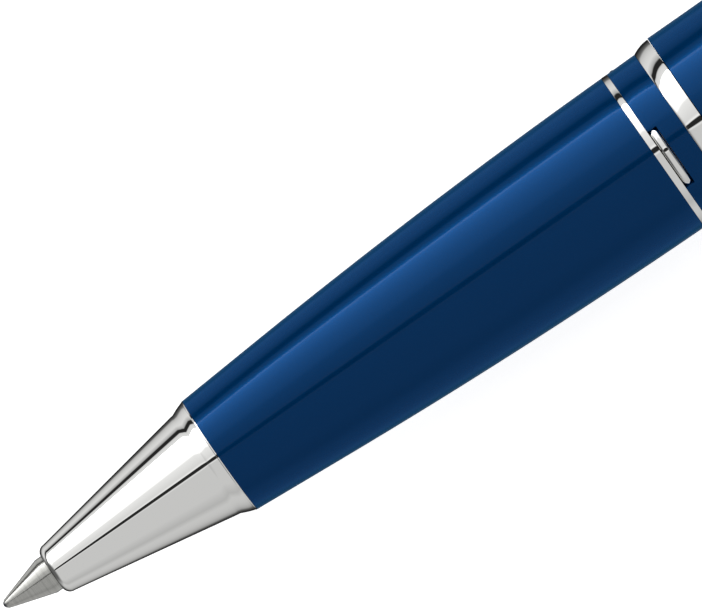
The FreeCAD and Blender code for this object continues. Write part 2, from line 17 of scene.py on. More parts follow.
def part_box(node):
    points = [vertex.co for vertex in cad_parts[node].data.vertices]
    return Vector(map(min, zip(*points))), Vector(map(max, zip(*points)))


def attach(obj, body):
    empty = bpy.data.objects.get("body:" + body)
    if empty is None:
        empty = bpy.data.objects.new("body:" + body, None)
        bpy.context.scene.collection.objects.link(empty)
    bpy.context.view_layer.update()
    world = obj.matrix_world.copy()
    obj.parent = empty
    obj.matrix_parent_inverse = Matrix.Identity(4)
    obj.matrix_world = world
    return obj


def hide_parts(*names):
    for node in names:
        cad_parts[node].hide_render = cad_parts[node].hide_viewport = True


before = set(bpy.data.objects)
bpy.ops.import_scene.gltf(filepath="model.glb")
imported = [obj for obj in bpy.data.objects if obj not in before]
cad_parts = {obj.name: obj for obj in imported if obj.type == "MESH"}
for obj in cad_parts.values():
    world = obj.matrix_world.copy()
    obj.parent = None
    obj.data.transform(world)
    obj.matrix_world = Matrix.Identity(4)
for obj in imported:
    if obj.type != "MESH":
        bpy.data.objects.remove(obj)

MM = 0.001
TURN_STEPS = 160
ARC_STEP_DEG = 5.0
SHARP_DEG = 32.0
log = logging.getLogger("pen")

Outline = list[tuple[float, float]]


class Body(Enum):
    """The rigid bodies of the frame that pieces ride on."""

    SECTION = "section"
    LUG_1 = "lug_1"
    LUG_2 = "lug_2"
    LUG_3 = "lug_3"
    REFILL = "refill"
    BALL = "writing_ball"
    BARREL = "barrel"
    CAP = "cap"
    CLIP = "clip"


class Edge(Enum):
    """How sharp a turned corner is left, as the width of its bevel in millimetres."""

    KEEN = 0.03
    BROKEN = 0.07
    SOFT = 0.12


# ---------------------------------------------------------------- finishes


def linear(code: str) -> tuple[float, float, float, float]:
    """Turns an sRGB hex colour into the linear values that a shader takes.

    Args:
        code: the colour as "#RRGGBB".

    Returns:
        Red, green, blue and an alpha of 1, linear.
    """
    parts = [int(code[i : i + 2], 16) / 255 for i in (1, 3, 5)]
    decoded = [c / 12.92 if c <= 0.04045 else ((c + 0.055) / 1.055) ** 2.4 for c in parts]
    return (*decoded, 1.0)


def add_node(tree: bpy.types.NodeTree, kind: str, links: dict[str, bpy.types.NodeSocket] | None = None,
             **settings: object) -> bpy.types.Node:
    """Adds one node with its settings and its incoming links.

    Args:
        tree: the material's or world's node tree.
        kind: the node's type name.
        links: input name or number to the socket that feeds it.
        settings: a node property, or an input's default where the name is in_NAME.

    Returns:
        The new node.
    """
    node = tree.nodes.new(kind)
    for name, setting in settings.items():
        if name.startswith("in_"):
            key = name[3:]
            node.inputs[int(key) if key.isdigit() else key.replace("_", " ")].default_value = setting
        else:
            setattr(node, name, setting)
    for name, socket in (links or {}).items():
        tree.links.new(socket, node.inputs[int(name) if name.isdigit() else name])
    return node


@dataclass(frozen=True)
class Finish:
    """What every finish has: a name, a colour and how rough its surface is."""

    name: str
    colour: str
    roughness: float

    def shader(self, material: bpy.types.Material) -> bpy.types.Node:
        """The material's one Principled shader, with the finish's own constants on its sockets."""
        return material.node_tree.nodes["Principled BSDF"]

    def make(self) -> bpy.types.Material:
        """Builds the material, or returns the one already made under this name."""
        found = bpy.data.materials.get(self.name)
        if found:
            return found
        material = bpy.data.materials.new(self.name)
        material.use_nodes = True
        shader = self.shader(material)
        shader.inputs["Base Color"].default_value = linear(self.colour)
        shader.inputs["Roughness"].default_value = self.roughness
        self.detail(material.node_tree, shader)
        return material

    def detail(self, tree: bpy.types.NodeTree, shader: bpy.types.Node) -> None:
        """Adds the finish's own nodes."""

    def vary(self, tree: bpy.types.NodeTree, shader: bpy.types.Node, spot_mm: float, low: float,
             high: float) -> bpy.types.Node:
        """Lets the roughness wander between two values over spots of a real size.

        Args:
            tree: the material's node tree.
            shader: its Principled shader.
            spot_mm: how wide a spot is.
            low: the roughness where the surface is cleanest.
            high: the roughness where it is most handled.

        Returns:
            The noise node, for other uses.
        """
        place = add_node(tree, "ShaderNodeTexCoord")
        noise = add_node(tree, "ShaderNodeTexNoise", {"Vector": place.outputs["Object"]},
                         in_Scale=1 / (spot_mm * MM), in_Detail=3.0)
        spread = add_node(tree, "ShaderNodeMapRange", {"Value": noise.outputs["Fac"]},
                          in_From_Min=0.35, in_From_Max=0.65, in_To_Min=low, in_To_Max=high)
        tree.links.new(spread.outputs["Result"], shader.inputs["Roughness"])
        return noise


@dataclass(frozen=True)
class Lacquer(Finish):
    """Transparent blue lacquer over a bright ground. What it mirrors comes back deep blue, under a clear film."""

    ground: float = 0.64
    edge_tint: str = "#95D3F9"
    film: float = 0.09
    film_ior: float = 1.8
    film_roughness: float = 0.02
    cloud_mm: float = 1.6
    fleck_mm: float = 0.05
    fleck_depth: float = 0.04

    def detail(self, tree: bpy.types.NodeTree, shader: bpy.types.Node) -> None:
        """A tinted ground with faint flecks, and over it a film as smooth as glass that mirrors very little."""
        shader.inputs["Metallic"].default_value = self.ground
        shader.inputs["Specular IOR Level"].default_value = 0.0
        shader.inputs["Specular Tint"].default_value = linear(self.edge_tint)
        noise = self.vary(tree, shader, self.cloud_mm, self.roughness * 0.93, self.roughness * 1.07)
        place = add_node(tree, "ShaderNodeTexCoord")
        fleck = add_node(tree, "ShaderNodeTexNoise", {"Vector": place.outputs["Object"]},
                         in_Scale=1 / (self.fleck_mm * MM), in_Detail=1.0)
        blend = add_node(tree, "ShaderNodeMapRange", {"Value": fleck.outputs["Fac"]}, in_From_Min=0.3,
                         in_From_Max=0.7, in_To_Min=1 - self.fleck_depth, in_To_Max=1 + self.fleck_depth)
        tint = add_node(tree, "ShaderNodeHueSaturation", {"Value": blend.outputs["Result"]},
                        in_Color=linear(self.colour))
        tree.links.new(tint.outputs["Color"], shader.inputs["Base Color"])
        peel = add_node(tree, "ShaderNodeBump", {"Height": noise.outputs["Fac"]},
                        in_Strength=0.012, in_Distance=0.02 * MM)
        film = add_node(tree, "ShaderNodeBsdfGlossy", {"Normal": peel.outputs["Normal"]},
                        in_Roughness=self.film_roughness)
        rise = add_node(tree, "ShaderNodeFresnel", in_IOR=self.film_ior)
        share = add_node(tree, "ShaderNodeMath", {"0": rise.outputs[0]}, operation="MULTIPLY", in_1=self.film)
        both = add_node(tree, "ShaderNodeMixShader", {"0": share.outputs[0], "1": shader.outputs[0],
                                                      "2": film.outputs[0]})
        tree.links.new(both.outputs[0], tree.nodes["Material Output"].inputs["Surface"])


@dataclass(frozen=True)
class Plated(Finish):
    """Polished chromium over brass: a mirror with the faintest haze of handling."""

    edge_tint: str = "#3A3A3C"
    haze_mm: float = 2.2

    def detail(self, tree: bpy.types.NodeTree, shader: bpy.types.Node) -> None:
        """A near mirror whose haze wanders from spot to spot."""
        shader.inputs["Metallic"].default_value = 1.0
        shader.inputs["Specular Tint"].default_value = linear(self.edge_tint)
        self.vary(tree, shader, self.haze_mm, self.roughness * 0.6, self.roughness * 1.5)


@dataclass(frozen=True)
class Turned(Finish):
    """Bare metal from the lathe: fine rings round the axis, which spread reflections along it."""

    ring_mm: float = 0.09
    ring_depth: float = 0.35
    tint_mm: float = 0.5

    def detail(self, tree: bpy.types.NodeTree, shader: bpy.types.Node) -> None:
        """Rings round the pen's axis, in the bump and in the tone, a little coarser than real ones."""
        shader.inputs["Metallic"].default_value = 1.0
        place = add_node(tree, "ShaderNodeTexCoord")
        squeeze = add_node(tree, "ShaderNodeMapping", {"Vector": place.outputs["Object"]},
                           in_Scale=(1 / (self.ring_mm * MM), 6.0, 6.0))
        rings = add_node(tree, "ShaderNodeTexNoise", {"Vector": squeeze.outputs["Vector"]},
                         in_Scale=1.0, in_Detail=4.0, in_Roughness=0.65)
        groove = add_node(tree, "ShaderNodeBump", {"Height": rings.outputs["Fac"]},
                          in_Strength=self.ring_depth, in_Distance=0.01 * MM)
        tree.links.new(groove.outputs["Normal"], shader.inputs["Normal"])
        tone = add_node(tree, "ShaderNodeMapRange", {"Value": rings.outputs["Fac"]},
                        in_From_Min=0.3, in_From_Max=0.7, in_To_Min=0.86, in_To_Max=1.08)
        tint = add_node(tree, "ShaderNodeHueSaturation", {"Value": tone.outputs["Result"]},
                        in_Color=linear(self.colour))
        tree.links.new(tint.outputs["Color"], shader.inputs["Base Color"])
        self.vary(tree, shader, self.tint_mm, self.roughness * 0.85, self.roughness * 1.2)


@dataclass(frozen=True)
class Moulded(Finish):
    """Moulded plastic or rubber: a fine matt grain from the mould."""

    grain_mm: float = 0.12
    grain_depth: float = 0.25
    ior: float = 1.5

    def detail(self, tree: bpy.types.NodeTree, shader: bpy.types.Node) -> None:
        """A fine grain in the bump, and a slow change of gloss."""
        shader.inputs["IOR"].default_value = self.ior
        place = add_node(tree, "ShaderNodeTexCoord")
        grain = add_node(tree, "ShaderNodeTexNoise", {"Vector": place.outputs["Object"]},
                         in_Scale=1 / (self.grain_mm * MM), in_Detail=2.0)
        bump = add_node(tree, "ShaderNodeBump", {"Height": grain.outputs["Fac"]},
                        in_Strength=self.grain_depth, in_Distance=0.01 * MM)
        tree.links.new(bump.outputs["Normal"], shader.inputs["Normal"])
        self.vary(tree, shader, 1.0, self.roughness * 0.9, self.roughness * 1.1)


LACQUER = Lacquer("deep_blue_candy_lacquer", "#003463", 0.20)
CHROME = Plated("polished_chromium_plate", "#F2F2F0", 0.014)
POINT_STEEL = Turned("turned_stainless_steel", "#B6B6B2", 0.15, ring_mm=0.22, ring_depth=0.2)
BALL_CARBIDE = Turned("ground_tungsten_carbide", "#8C8D90", 0.18, ring_depth=0.05)
SCREW_STEEL = Turned("machined_steel", "#B9B9B6", 0.30, ring_mm=0.2)
BRASS = Turned("turned_brass", "#D9B36A", 0.22, ring_mm=0.15)
SPRING_STEEL = Turned("drawn_spring_steel", "#A9A9A6", 0.32, ring_mm=0.3, ring_depth=0.1)
REFILL_SKIN = Turned("drawn_aluminium_tube", "#D8D9DB", 0.28, ring_mm=0.4, ring_depth=0.15)
SEAL_RUBBER = Moulded("nitrile_rubber", "#151515", 0.55)
BLACK_PLASTIC = Moulded("moulded_black_acetal", "#1C1C1E", 0.42, ior=1.48)
INK_FIBRE = Moulded("ink_soaked_fibre", "#16265C", 0.85, grain_mm=0.05, grain_depth=0.8)


# ---------------------------------------------------------------- shapes


def arc(start: tuple[float, float], end: tuple[float, float], radius: float, hollow: bool = False) -> Outline:
    """Points of a round stretch of an outline.

    Args:
        start: where the arc leaves, as (along, radius).
        end: where it arrives.
        radius: the arc's own radius.
        hollow: True if it curves in towards the pen's axis.

    Returns:
        The points after start, up to and including end.
    """
    a, b = Vector(start), Vector(end)
    chord = b - a
    side = Vector((-chord.y, chord.x)).normalized()
    if (side.y < 0) != hollow:
        side = -side
    centre = (a + b) / 2 - side * math.sqrt(max(radius**2 - chord.length_squared / 4, 0))
    first = math.atan2(a.y - centre.y, a.x - centre.x)
    sweep = (math.atan2(b.y - centre.y, b.x - centre.x) - first + math.pi) % (2 * math.pi) - math.pi
    count = max(4, math.ceil(math.degrees(abs(sweep)) / ARC_STEP_DEG), math.ceil(chord.length / 1.2))
    angles = [first + sweep * step / count for step in range(1, count + 1)]
    return [(centre.x + radius * math.cos(w), centre.y + radius * math.sin(w)) for w in angles]


@dataclass(frozen=True)
class Axis:
    """Where the pen is: its writing ball's apex in the frame, in metres. The axis runs from there along X."""

    apex: Vector

    @classmethod
    def from_frame(cls) -> "Axis":
        """Reads the apex from the box of the barrel's shell, whose front face is flat."""
        low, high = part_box("barrel_shell")
        return cls(Vector((low.x - Barrel.start * MM, (low.y + high.y) / 2, (low.z + high.z) / 2)))

    def matrix(self, roll_deg: float = 0.0) -> Matrix:
        """From millimetres along the axis to metres in the frame, turned about the axis."""
        roll = Matrix.Rotation(math.radians(roll_deg), 4, "X")
        return Matrix.Translation(self.apex) @ roll @ Matrix.Scale(MM, 4)


@dataclass
class Workshop:
    """Turns bmeshes into finished pieces: placed in the frame, dressed, and riding on their bodies."""

    axis: Axis
    made: list[str] = field(default_factory=list)

    @staticmethod
    def sweep(work: bmesh.types.BMesh, outline: Outline, start_deg: float = 0.0,
              sweep_deg: float = 360.0) -> None:
        """Turns a closed outline about the pen's axis. A part turn is left open at its two sides.

        Args:
            work: the piece that it is added to, in millimetres.
            outline: the outline's corners, as (along, radius).
            start_deg: the angle of a part turn's first side, from straight up.
            sweep_deg: how far it turns.
        """
        corners = [work.verts.new((along, 0.0, radius)) for along, radius in outline]
        loop = [work.edges.new((corners[i - 1], corners[i])) for i in range(len(corners))]
        bmesh.ops.rotate(work, verts=corners, cent=(0, 0, 0),
                         matrix=Matrix.Rotation(math.radians(start_deg), 3, "X"))
        bmesh.ops.spin(work, geom=corners + loop, cent=(0, 0, 0), axis=(1, 0, 0), dvec=(0, 0, 0),
                       angle=math.radians(sweep_deg), steps=max(8, round(TURN_STEPS * sweep_deg / 360.0)),
                       use_merge=sweep_deg >= 360.0, use_duplicate=False)

    def close(self, work: bmesh.types.BMesh, edge: Edge = Edge.KEEN) -> None:
        """Welds what was swept, closes its open sides, faces it outward and breaks its sharp rims.

        Args:
            work: the piece in millimetres.
            edge: how wide the rims' bevel is.
        """
        bmesh.ops.remove_doubles(work, verts=work.verts[:], dist=1e-4)
        bmesh.ops.holes_fill(work, edges=[e for e in work.edges if e.is_boundary], sides=0)
        bmesh.ops.dissolve_degenerate(work, dist=1e-5, edges=work.edges[:])
        bmesh.ops.recalc_face_normals(work, faces=work.faces[:])
        sharp = math.radians(SHARP_DEG)
        self.bevel(work, [e for e in work.edges if e.is_manifold and e.calc_face_angle(0.0) > sharp], edge.value)

    def spin(self, outline: Outline, edge: Edge = Edge.KEEN, start_deg: float = 0.0,
             sweep_deg: float = 360.0) -> bmesh.types.BMesh:
        """Makes one closed piece from one outline.

        Args:
            outline: the outline's corners, as (along, radius).
            edge: how wide the rims' bevel is.
            start_deg: the angle of a part turn's first side, from straight up.
            sweep_deg: how far it turns.

        Returns:
            The piece in millimetres.
        """
        work = bmesh.new()
        self.sweep(work, outline, start_deg, sweep_deg)
        self.close(work, edge)
        return work

    @staticmethod
    def bevel(work: bmesh.types.BMesh, edges: Iterable[bmesh.types.BMEdge], width: float, segments: int = 2,
              clamp: bool = True) -> None:
        """Rounds some edges.

        Args:
            work: the piece in millimetres.
            edges: the edges to round.
            width: the bevel's offset.
            segments: how many faces go round it.
            clamp: True to keep the offset short of the next edge.
        """
        bmesh.ops.bevel(work, geom=list(edges), offset=width, offset_type="OFFSET", affect="EDGES",
                        segments=segments, profile=0.5, clamp_overlap=clamp, material=-1)

    def finish_piece(self, work: bmesh.types.BMesh, name: str, body: Body, finish: Finish,
                     replaces: Sequence[str], slot: str, roll_deg: float = 0.0) -> bpy.types.Object:
        """Places a piece in the frame, shades it, dresses it and lets it ride.

        Args:
            work: the piece in millimetres about the pen's axis.
            name: the piece's name.
            body: the body it rides on.
            finish: its surface.
            replaces: the CAD nodes that it stands for.
            slot: not used.
            roll_deg: how far it is turned about the axis.

        Returns:
            The piece.
        """
        bmesh.ops.transform(work, matrix=self.axis.matrix(roll_deg), verts=work.verts[:])
        mesh = bpy.data.meshes.new(name)
        work.to_mesh(mesh)
        work.free()
        mesh.shade_smooth()
        mesh.set_sharp_from_angle(angle=math.radians(SHARP_DEG))
        piece = bpy.data.objects.new(name, mesh)
        bpy.context.collection.objects.link(piece)
        piece.data.materials.append(finish.make())
        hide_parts(*replaces)
        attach(piece, body.value)
        self.made.append(name)
        log.info("%s: %d faces, %s", name, len(mesh.polygons), finish.name)
        return piece

    def lathe(self, name: str, outline: Outline, body: Body, finish: Finish, slot: str,
              edge: Edge = Edge.KEEN) -> bpy.types.Object:
        """Makes one wholly turned piece, which stands for the CAD node of the same stem.

        Args:
            name: the CAD node's name. The piece is called NAME_finished.
            outline: its corners, as (along, radius).
            body: the body it rides on.
            finish: its surface.
            slot: handed on to finish_piece, which does not use it.
            edge: how its rims are broken.

        Returns:
            The piece.
        """
        return self.finish_piece(self.spin(outline, edge), name + "_finished", body, finish, [name], slot)

    def dress(self, node: str, finish: Finish) -> None:
        """Gives a CAD node that stays as it is its finish."""
        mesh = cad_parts[node].data
        mesh.materials.clear()
        mesh.materials.append(finish.make())
        log.info("%s: kept from the frame, %s", node, finish.name)


def tube(start: float, end: float, inner: float, outer: float) -> Outline:
    """The outline of a plain tube."""
    return [(start, inner), (start, outer), (end, outer), (end, inner)]


# ---------------------------------------------------------------- sub-assemblies


@dataclass
class Refill:
    """The ink refill: the ball in its turned point, and the tube behind it."""

    shop: Workshop
    ball_r: float = 0.30
    lip_x: float = 0.18
    seat_r: float = 0.31
    lip_wall: float = 0.03
    neck_x: float = 0.62
    neck_r: float = 0.46
    cone_end: float = 3.45
    sleeve_r: float = 1.32
    sleeve_end: float = 8.0
    sleeve_bore: float = 0.45
    body_r: float = 3.0
    body_start: float = 19.0
    body_end: float = 110.5

    def make_ball(self) -> None:
        """The writing ball, a ground sphere."""
        work = bmesh.new()
        bmesh.ops.create_uvsphere(work, u_segments=48, v_segments=32, radius=self.ball_r - 0.002)
        bmesh.ops.translate(work, verts=work.verts[:], vec=(self.ball_r, 0, 0))
        self.shop.finish_piece(work, "tip_ball_finished", Body.BALL, BALL_CARBIDE, ["tip_ball"], "carbide")

    def make_point(self) -> None:
        """The point: its rolled lip, its cone and the sleeve that the nose guides."""
        lip = math.sqrt(self.seat_r**2 - (self.ball_r - self.lip_x) ** 2)
        outline = [(self.lip_x, lip), (self.lip_x, lip + self.lip_wall)]
        outline += [(self.neck_x, self.neck_r), (self.cone_end, self.sleeve_r)]
        outline += [(self.sleeve_end, self.sleeve_r), (self.sleeve_end, self.sleeve_bore)]
        outline += [(1.0, self.sleeve_bore), (0.62, 0.05)]
        outline += arc((0.62, 0.05), (self.lip_x, lip), self.seat_r + 0.005)[:-1]
        work = self.shop.spin(outline)
        self.shop.finish_piece(work, "tip_socket_finished", Body.REFILL, POINT_STEEL, ["tip_socket"],
                               "turned_steel")

    def make_tube(self) -> None:
        """The refill's drawn tube, rolled in at its rear end and round a crimp."""
        crimp, depth, wall = self.body_start + 4.0, 0.12, 0.3
        tail = [(crimp - 0.6, self.body_r), (crimp, self.body_r - depth), (crimp + 0.6, self.body_r)]
        outline = [(self.body_start, self.body_r - wall), (self.body_start, self.body_r), *tail]
        outline += [(self.body_end - 0.3, self.body_r), (self.body_end, self.body_r - 0.2)]
        outline += [(self.body_end, self.body_r - wall)]
        self.shop.lathe("refill_tube", outline, Body.REFILL, REFILL_SKIN, "refill_metal")

    def build(self) -> None:
        """Makes the refill's pieces, and dresses those that stay."""
        self.make_ball()
        self.make_point()
        self.make_tube()
        for node, finish in (("refill_collar", BLACK_PLASTIC), ("refill_end_plug", BLACK_PLASTIC),
                             ("ink_reservoir", INK_FIBRE)):
            self.shop.dress(node, finish)


@dataclass
class Section:
    """The front half: chrome nose, lacquered grip, snap catch and shoulder ring."""

    shop: Workshop
    nose_front: float = 3.93
    nose_bore: float = 1.36
    grip_start: float = 17.6
    grip_front_r: float = 4.40
    grip_end: float = 52.82
    grip_rear_r: float = 6.037
    liner_r: float = 4.6
    ring_end: float = 53.29
    ring_r: float = 6.045
    collar_end: float = 55.53
    collar_r: float = 6.07
    shoulder_end: float = 56.83
    shoulder_r: float = 6.415
    shoulder_crown: tuple[float, float] = (56.62, 6.40)
    window_end: float = 53.99
    bridge_inner_r: float = 5.0
    bridge_rear_r: float = 6.049
    lug_roll: float = 9.5
    lug_half: float = 2.25
    lug_gap: float = 0.04
    lug_length: float = 0.62
    lug_top_r: float = 6.24
    lug_crown_r: float = 4.0
    lug_base_r: float = 5.02
    lug_core_r: float = 1.5
    lug_end: float = 0.30
    lug_end_drop: float = 0.12
    lug_end_width: float = 0.25
    liner_start: float = 23.3
    liner_step: float = 31.0
    liner_bore: float = 3.25
    liner_rear_bore: float = 3.75
    thread_start: float = 58.3
    thread_end: float = 64.6
    thread_pitch: float = 1.0
    thread_depth: float = 0.18
    tenon_end: float = 65.5
    seal: tuple[float, float, float] = (56.96, 5.0, 0.36)

    def make_nose(self) -> None:
        """The nose cone: a rounded mouth, a straight cone, a crease and a flared collar."""
        outline = [(self.nose_front, self.nose_bore), (self.nose_front, 1.42)]
        outline += arc((self.nose_front, 1.42), (4.51, 1.853), 0.60)
        outline += [(16.31, 3.953), (16.50, 3.975)]
        outline += arc((16.50, 3.975), (17.50, 4.365), 6.0)
        outline += [(17.52, 4.395), (self.grip_start, 4.40), (self.grip_start, 3.6)]
        outline += [(23.2, 3.6), (23.2, 3.15), (15.5, 3.15), (7.95, 1.95), (7.95, self.nose_bore)]
        self.shop.lathe("nose_cone", outline, Body.SECTION, CHROME, "chrome_plate")

    def make_grip(self) -> None:
        """The grip: straight behind the nose, then one long gentle curve to the catch ring."""
        outline = [(self.grip_start, 3.6), (self.grip_start, self.grip_front_r), (24.0, 4.868)]
        outline += arc((24.0, 4.868), (self.grip_end, self.grip_rear_r), 445.0)
        outline += [(self.grip_end, self.liner_r), (31.0, self.liner_r), (31.0, 4.0), (23.3, 4.0), (23.3, 3.6)]
        self.shop.lathe("grip_shell", outline, Body.SECTION, LACQUER, "blue_lacquer")

    def make_catch(self) -> None:
        """The catch ring, and the collar whose three windows the lugs stand in."""
        ring = tube(self.grip_end, self.ring_end, self.liner_r, self.ring_r)
        self.shop.lathe("catch_ring", ring, Body.SECTION, CHROME, "chrome_plate")
        step, inner = self.window_end, self.bridge_inner_r
        rear = [(step, inner), (step, self.bridge_rear_r), (self.collar_end, self.collar_r),
                (self.collar_end, self.liner_r), (step, self.liner_r)]
        bridge = [(self.ring_end, inner), (self.ring_end, self.ring_r), *rear[1:], (step, inner)]
        half = math.degrees(math.asin((self.lug_half + self.lug_gap) / self.ring_r))
        work = bmesh.new()
        for middle in (0.0, 120.0, 240.0):
            self.shop.sweep(work, rear, middle - half, 2 * half)
            self.shop.sweep(work, bridge, middle + half, 120.0 - 2 * half)
        self.shop.close(work)
        self.shop.finish_piece(work, "section_collar_finished", Body.SECTION, LACQUER, ["section_collar"],
                               "blue_lacquer", self.lug_roll)

    def make_lugs(self) -> None:
        """The three lugs: narrow crowned wheels with rounded rims, cut off and rounded down at both ends."""
        front, length, end, half = self.ring_end + self.lug_gap, self.lug_length, self.lug_end, self.lug_half
        middle, flank = front + length / 2, self.lug_crown_r - length / 2
        rim = [(front, self.lug_core_r), (front, flank)]
        rim += arc((front, flank), (front + length, flank), length / 2)
        rim += [(front + length, self.lug_core_r)]
        planes = [((0, 0, self.lug_base_r), (0, 0, -1), True)]
        for share in (1.0, 0.92, 0.8, 0.6, 0.3, 0.0):
            across = half - end + end * share
            planes += [((0, side * across, 0), (0, side, 0), share == 1.0) for side in (1, -1)]
        for number in (1, 2, 3):
            work = self.shop.spin(rim, Edge.KEEN, -60.0, 120.0)
            bmesh.ops.translate(work, verts=work.verts[:], vec=(0, 0, self.lug_top_r - self.lug_crown_r))
            for point, normal, clear in planes:
                cut = bmesh.ops.bisect_plane(work, geom=work.verts[:] + work.edges[:] + work.faces[:], dist=1e-5,
                                             plane_co=point, plane_no=normal, clear_outer=clear)
                if clear:
                    rims = [e for e in cut["geom_cut"] if isinstance(e, bmesh.types.BMEdge)]
                    bmesh.ops.holes_fill(work, edges=rims, sides=0)
            for vert in work.verts:
                over = max((abs(vert.co.y) - half + end) / end, 0.0)
                left = math.sqrt(max(1 - over**2, 0.0))
                vert.co.x = middle + (vert.co.x - middle) * max(left, self.lug_end_width)
                if vert.co.z > self.lug_base_r + 0.03:
                    vert.co.z -= self.lug_end_drop * (1 - left)
            bmesh.ops.recalc_face_normals(work, faces=work.faces[:])
            name = f"catch_lug_{number}"
            self.shop.finish_piece(work, name + "_finished", Body(f"lug_{number}"), CHROME, [name],
                                   "chrome_plate", self.lug_roll + 120.0 * (number - 1))

    def make_shoulder(self) -> None:
        """The shoulder ring that the closed cap meets: a swelling band that ends in a thin flat rim."""
        foot = (55.66, 6.13)
        outline = [(self.collar_end, self.liner_r), (self.collar_end, self.collar_r), foot]
        outline += arc(foot, self.shoulder_crown, 2.7)
        outline += [(self.shoulder_end, self.shoulder_r), (self.shoulder_end, self.liner_r)]
        self.shop.lathe("shoulder_ring", outline, Body.SECTION, CHROME, "chrome_plate")

    def make_tenon(self) -> None:
        """The brass liner and its threaded tenon, whose thread is drawn as rings of its own pitch."""
        pitch, crest, root = self.thread_pitch, self.liner_r, self.liner_r - self.thread_depth
        outline = [(self.liner_start, self.liner_bore), (self.liner_start, 4.0), (self.liner_step, 4.0)]
        outline += [(self.liner_step, crest)]
        for number in range(int((self.thread_end - self.thread_start) / pitch)):
            start = self.thread_start + number * pitch
            outline += [(start, crest), (start + pitch * 0.35, root), (start + pitch * 0.65, root)]
        outline += [(self.thread_end, crest), (self.tenon_end - 0.35, crest), (self.tenon_end, 4.25)]
        outline += [(self.tenon_end, self.liner_rear_bore), (self.liner_step, self.liner_rear_bore)]
        outline += [(self.liner_step, self.liner_bore)]
        self.shop.lathe("section_liner", outline, Body.SECTION, BRASS, "brass")

    def make_seal(self) -> None:
        """The rubber ring in the tenon's neck, which keeps the barrel from working loose."""
        start, radius, thickness = self.seal
        front, rear = (start, radius), (start + 2 * thickness, radius)
        outline = arc(rear, front, thickness)[:-1] + arc(front, rear, thickness, hollow=True)
        self.shop.lathe("barrel_seal", outline, Body.SECTION, SEAL_RUBBER, "seal_rubber")

    def build(self) -> None:
        """Makes the section's pieces, and dresses the one that stays."""
        self.make_nose()
        self.make_grip()
        self.make_catch()
        self.make_lugs()
        self.make_shoulder()
        self.make_tenon()
        self.shop.dress("catch_spring", SPRING_STEEL)
        self.make_seal()


@dataclass
class Barrel:
    """The rear half: the lacquered shell, its brass insert and its tail."""

    shop: Workshop
    start: float = 56.87
    radius: float = 6.467
    straight_end: float = 64.0
    bend_end: float = 84.0
    bend_r: float = 6.14
    end: float = 119.5
    end_r: float = 4.98
    bore_r: float = 4.4
    insert_r: float = 5.5
    insert_end: float = 70.0
    ring_end: float = 120.3
    stud_r: float = 1.5

    def make_shell(self) -> None:
        """The shell: straight behind the shoulder, then drawn in to the tail."""
        outline = [(self.start, self.insert_r), (self.start, self.radius), (self.straight_end, self.radius)]
        outline += arc((self.straight_end, self.radius), (self.bend_end, self.bend_r), 612.0)
        outline += [(self.end, self.end_r), (self.end, self.bore_r), (self.insert_end, self.bore_r)]
        outline += [(self.insert_end, self.insert_r)]
        self.shop.lathe("barrel_shell", outline, Body.BARREL, LACQUER, "blue_lacquer")

    def make_tail(self) -> None:
        """The tail: a chrome ring, and a low dome of lacquer."""
        ring = tube(self.end, self.ring_end, self.stud_r, 5.02)
        self.shop.lathe("tail_ring", ring, Body.BARREL, CHROME, "chrome_plate", Edge.BROKEN)
        outline = [(self.ring_end, self.stud_r), (self.ring_end, 4.86), (121.0, 4.86)]
        outline += arc((121.0, 4.86), (123.4, 0.0), 6.2)
        outline += [(121.8, 0.0), (121.8, self.stud_r)]
        self.shop.lathe("tail_cap", outline, Body.BARREL, LACQUER, "blue_lacquer", Edge.BROKEN)

    def build(self) -> None:
        """Makes the barrel's pieces, and dresses those that stay."""
        self.make_shell()
        self.make_tail()
        for node, finish in (("barrel_insert", BRASS), ("barrel_liner", BRASS), ("tail_plug", BRASS),
                             ("tail_stud", SCREW_STEEL), ("refill_spring", SPRING_STEEL),
                             ("spring_seat", BLACK_PLASTIC)):
            self.shop.dress(node, finish)


